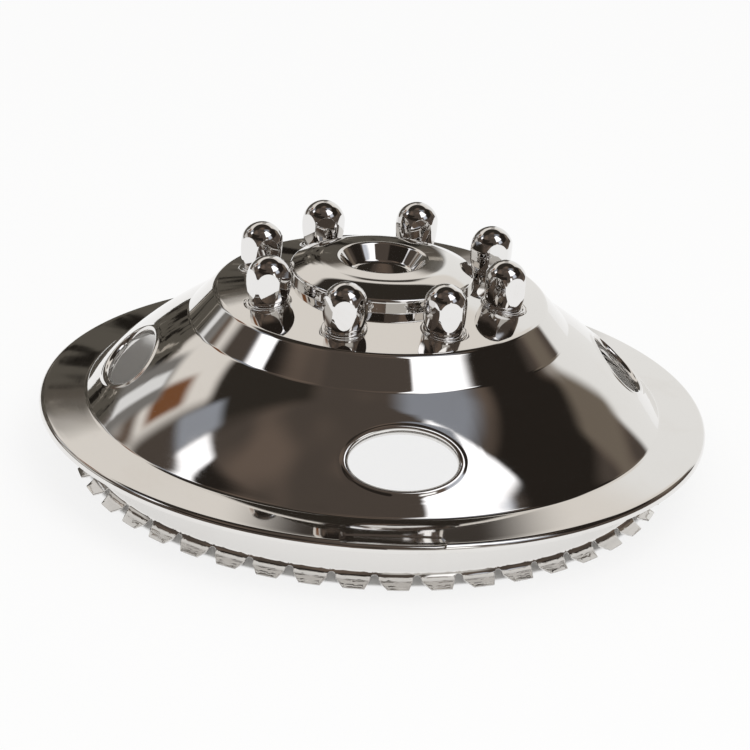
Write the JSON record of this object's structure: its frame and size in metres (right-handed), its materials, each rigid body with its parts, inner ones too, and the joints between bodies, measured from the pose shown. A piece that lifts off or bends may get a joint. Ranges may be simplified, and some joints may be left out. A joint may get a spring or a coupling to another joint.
{
  "type": "wheel simulator cover",
  "caption": "Domed, mirror-polished truck wheel cover with oval hand holes, domed hex lug covers, a dimpled hub boss and a toothed snap-in spring ring under its flange.",
  "frame": {"origin": "on the wheel's axis, in the plane of the tips of the spring ring's teeth", "axes": "+Z along the wheel's axis, out of the wheel; -Y through the hand hole above the tool recess"},
  "size_m": [0.44, 0.44, 0.154],
  "materials": {
    "cover_steel": "mirror-polished stainless steel",
    "lug_steel": "mirror-polished drawn stainless steel",
    "ring_steel": "bright rolled stainless steel"
  },
  "bodies": {
    "root": {"wheel_cover": "cover_steel", "spring_ring": "ring_steel", "lug_cover_1": "lug_steel", "lug_cover_2": "lug_steel", "lug_cover_3": "lug_steel", "lug_cover_4": "lug_steel", "lug_cover_5": "lug_steel", "lug_cover_6": "lug_steel", "lug_cover_7": "lug_steel", "lug_cover_8": "lug_steel"}
  },
  "joints": []
}
